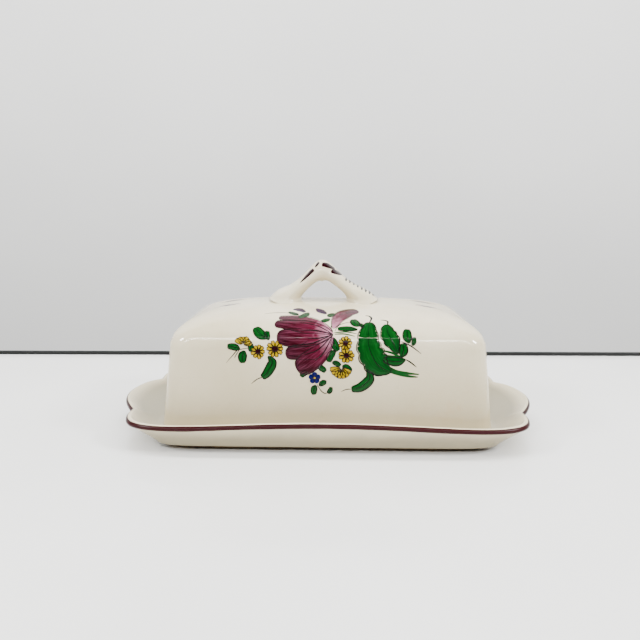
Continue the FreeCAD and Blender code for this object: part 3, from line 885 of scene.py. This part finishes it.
# %% The rim band
band_lines = []
BAND_LOW, BAND_HIGH = math.radians(-26), math.radians(66)
BAND_PROUD, BAND_SUNK, BAND_ROWS = 0.055, 0.15, 9
for share in steps(BAND_ROWS - 1):
    rise = BAND_PROUD * (1 - abs(2 * share - 1) ** 3) + 0.004
    full = lip_line(blend(BAND_LOW, BAND_HIGH, share), rise)
    narrow = lip_line(blend(BAND_LOW, BAND_HIGH, 0.5 + (share - 0.5) * 0.8), rise)
    wavered = []
    for p, q in zip(full, narrow):
        waver = 0.5 + 0.5 * noise.noise(Vector((p.x, p.y, 3)) / 9)
        wavered.append(p.lerp(q, min(1, max(0, waver * 1.1))))
    band_lines.append(wavered)
for share in (0.95, 0.05):
    band_lines.append(lip_line(blend(BAND_LOW, BAND_HIGH, 0.5 + (share - 0.5) * 0.7), -BAND_SUNK))
around = len(turns)
verts = [p for row in band_lines for p in row]
faces, uvs = [], []
for row in range(len(band_lines)):
    after = (row + 1) % len(band_lines)
    for i in range(around):
        j = (i + 1) % around
        faces.append((row * around + i, row * around + j, after * around + j, after * around + i))
for row in range(len(band_lines)):
    uvs += [(i / around, row / (len(band_lines) - 1)) for i in range(around)]
band = link("rim_band", verts, faces, "tray", uvs=uvs)

# %% [markdown]
# Enamel colours. Each is dark where the brush was lifted and the colour pooled, and paler and
# streaky where it was drawn out. They melt to a gloss a little softer than the glaze.


# %% Enamels
def enamel(name, stops, streak, streak_mix, edge=None, edge_mix=0.0, rough=0.16):
    """An enamel whose colour runs along the stroke, with streaks and a darker or paler edge."""
    made, tree, output = new_material(name)
    brush = add(tree, "UVMap", uv_map="brush").outputs[0]
    parts = add(tree, "SeparateXYZ", {0: brush})
    place = add(tree, "TexCoord").outputs["Object"]
    cloud = add(tree, "TexNoise", {"Vector": place, "Scale": 420, "Detail": 3})
    shifted = add(tree, "MapRange", {0: cloud.outputs["Fac"], 3: -0.16, 4: 0.16}).outputs[0]
    along = add(tree, "Math", {0: parts.outputs[0], 1: shifted}, operation="ADD").outputs[0]
    tone = add(tree, "ValToRGB", {0: along}, stops=stops).outputs[0]
    stretched = add(tree, "Mapping", {"Vector": brush, "Scale": (1.6, 11, 1)}).outputs[0]
    moved = add(tree, "VectorMath", {0: stretched, 1: place}).outputs[0]
    hairs = add(tree, "TexNoise", {"Vector": moved, "Scale": 1.6, "Detail": 4, "Roughness": 0.6})
    hair = add(tree, "MapRange", {0: hairs.outputs["Fac"], 1: 0.46, 2: 0.72, 3: 0, 4: streak_mix})
    tone = mixed(tree, hair.outputs[0], tone, colour(streak))
    if edge:
        off = add(tree, "Math", {0: parts.outputs[1], 1: 0.5}, operation="SUBTRACT").outputs[0]
        away = add(tree, "Math", {0: off}, operation="ABSOLUTE").outputs[0]
        rim = add(tree, "MapRange", {0: away, 1: 0.30, 2: 0.5, 3: 0, 4: edge_mix}).outputs[0]
        tone = mixed(tree, rim, tone, colour(edge))
    shader = add(tree, "BsdfPrincipled", {"Base Color": tone, "Roughness": rough, "IOR": 1.5,
                                          "Specular IOR Level": 0.2})
    tree.links.new(shader.outputs[0], output.inputs[0])
    return made


ENAMELS = {
    "crimson": enamel("enamel_crimson", ((0.0, "#120002"), (0.3, "#2C000A"), (0.62, "#4A0A20"),
                                         (1.0, "#B88094")), "#8C4660", 0.45, "#160003", 0.6),
    "crimson_dark": enamel("enamel_purple_red", ((0.0, "#1C0005"), (1.0, "#160004")), "#3A0410", 0.3),
    "green": enamel("enamel_copper_green", ((0.0, "#012006"), (0.5, "#033A0C"), (1.0, "#012A07")),
                    "#0A5A1C", 0.8, "#001202", 0.7),
    "dark_green": enamel("enamel_dark_green", ((0.0, "#001803"), (1.0, "#001803")), "#012606", 0.3),
    "yellow": enamel("enamel_antimony_yellow", ((0.0, "#6A4A00"), (0.4, "#A08600"), (1.0, "#947600")),
                     "#7A5A00", 0.4, "#503400", 0.45),
    "blue": enamel("enamel_cobalt_blue", ((0.0, "#010336"), (1.0, "#03074C")), "#0C1460", 0.4),
    "violet": enamel("enamel_manganese_violet", ((0.0, "#2C1838"), (1.0, "#1E102A")), "#6E5C7A", 0.4),
    "dark": enamel("enamel_black_line", ((0.0, "#030101"), (1.0, "#020101")), "#0A0606", 0.3),
}
for paint, (points, faces, uvs) in strokes.items():
    thing = link("painted_" + paint, points, faces, "cover", uvs=uvs)
    thing.data.materials.append(ENAMELS[paint])
band.data.materials.append(enamel("enamel_rim_carmine", ((0.0, "#240002"), (1.0, "#2A0003")),
                                  "#380208", 0.4, "#400410", 0.3, 0.35))

# %% [markdown]
# The dish stands on a glossy light grey table top. Behind the table's back edge a narrow dark
# strip paints the shadow in the gap, and then comes a plain wall.


# %% Table and wall
def slab(name, low, high, material, skew=0.0):
    """A box-shaped part of the setting, corners in mm, its cross edges set askew."""
    xs, ys, zs = zip(low, high)
    verts = [(x, y + skew * x, z) for x in xs for y in ys for z in zs]
    faces = [(0, 1, 3, 2), (4, 6, 7, 5), (0, 4, 5, 1), (2, 3, 7, 6), (0, 2, 6, 4), (1, 5, 7, 3)]
    mesh = bpy.data.meshes.new(name)
    mesh.from_pydata([Vector(v) * MM for v in verts], [], faces)
    mesh.materials.append(material)
    thing = bpy.data.objects.new(name, mesh)
    bpy.context.scene.collection.objects.link(thing)
    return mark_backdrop(thing)


def setting(name, light, dark, rough, scale):
    """A plain surface with faint clouds."""
    made, tree, output = new_material(name)
    place = add(tree, "TexCoord").outputs["Object"]
    cloud = add(tree, "TexNoise", {"Vector": place, "Scale": scale, "Detail": 4})
    tone = add(tree, "ValToRGB", {0: cloud.outputs["Fac"]}, stops=((0.35, dark), (0.65, light)))
    shader = add(tree, "BsdfPrincipled", {"Base Color": tone.outputs[0], "Roughness": rough, "IOR": 1.45})
    tree.links.new(shader.outputs[0], output.inputs[0])
    return made


TABLE_BACK, GAP, WALL_AT, ASKEW = 145.8, 2.3, 620.0, 0.0275
slab("table_top", (-1500, -450, -30), (1500, TABLE_BACK, 0),
     setting("table_lacquer", "#EBEBE9", "#E5E5E3", 0.12, 6), ASKEW)
slab("dark_gap", (-1500, TABLE_BACK, -30), (1500, TABLE_BACK + 4, GAP),
     setting("gap_shadow", "#161817", "#101211", 0.9, 30), ASKEW)
slab("wall", (-2500, WALL_AT, -900), (2500, WALL_AT + 20, 2200),
     setting("wall_paint", "#E2E2E0", "#DCDCDA", 0.7, 3))

# %% [markdown]
# Light: a large soft panel overhead, a long one that washes the wall, and two small windows at
# the sides, which give the bright spots on the cover's front corners. A narrow strip in front
# gives the thin bright line along the shoulder.


# %% Lights
def panel(name, place, aim, width, depth, power, mirrored=True):
    """A soft rectangular light, in metres and watts."""
    data = bpy.data.lights.new(name, "AREA")
    data.shape = "RECTANGLE"
    data.size, data.size_y, data.energy = width, depth, power
    thing = bpy.data.objects.new(name, data)
    bpy.context.scene.collection.objects.link(thing)
    thing.location = place
    thing.rotation_euler = (Vector(aim) - Vector(place)).to_track_quat("-Z", "Y").to_euler()
    thing.visible_glossy = mirrored
    return thing


panel("overhead", (0.0, -0.22, 1.2), (0, 0, 0), 2.2, 1.5, 13.5, False)
panel("wall_wash", (0.0, 0.0, 1.1), (0, 0.62, 0.15), 3.0, 0.3, 35, False)
panel("front_strip", (0.0, -0.85, 0.60), (0, 0, 0.05), 1.5, 0.025, 10)
panel("left_window", (-1.0, -0.42, 0.80), (0, 0, 0.05), 0.2, 0.2, 13)
panel("right_window", (1.0, -0.42, 0.80), (0, 0, 0.05), 0.2, 0.2, 17)

world = bpy.data.worlds.new("room")
world.use_nodes = True
world.node_tree.nodes["Background"].inputs["Color"].default_value = colour("#F4F5F6")
world.node_tree.nodes["Background"].inputs["Strength"].default_value = 0.12
bpy.context.scene.world = world

# %% [markdown]
# The camera stands close in front, a little above the dish, and looks slightly down.

# %% Camera
STANDS_AT = (0, -0.329, 0.1155)
LENS, DOWN, PAN, ROLL = 34.65, math.radians(10.4), math.radians(0.74), math.radians(0.35)
camera_data = bpy.data.cameras.new("camera")
camera_data.lens, camera_data.sensor_width = LENS, 36.0
camera_data.clip_start = 0.01
camera = bpy.data.objects.new("camera", camera_data)
bpy.context.scene.collection.objects.link(camera)
ahead = Vector((-math.sin(PAN) * math.cos(DOWN), math.cos(PAN) * math.cos(DOWN), -math.sin(DOWN)))
right = Vector((math.cos(PAN), math.sin(PAN), 0))
up = right.cross(ahead)
rolled_right = right * math.cos(ROLL) + up * math.sin(ROLL)
rolled_up = up * math.cos(ROLL) - right * math.sin(ROLL)
axes = Matrix((rolled_right, rolled_up, -ahead)).transposed().to_4x4()
camera.matrix_world = Matrix.Translation(STANDS_AT) @ axes
bpy.context.scene.camera = camera
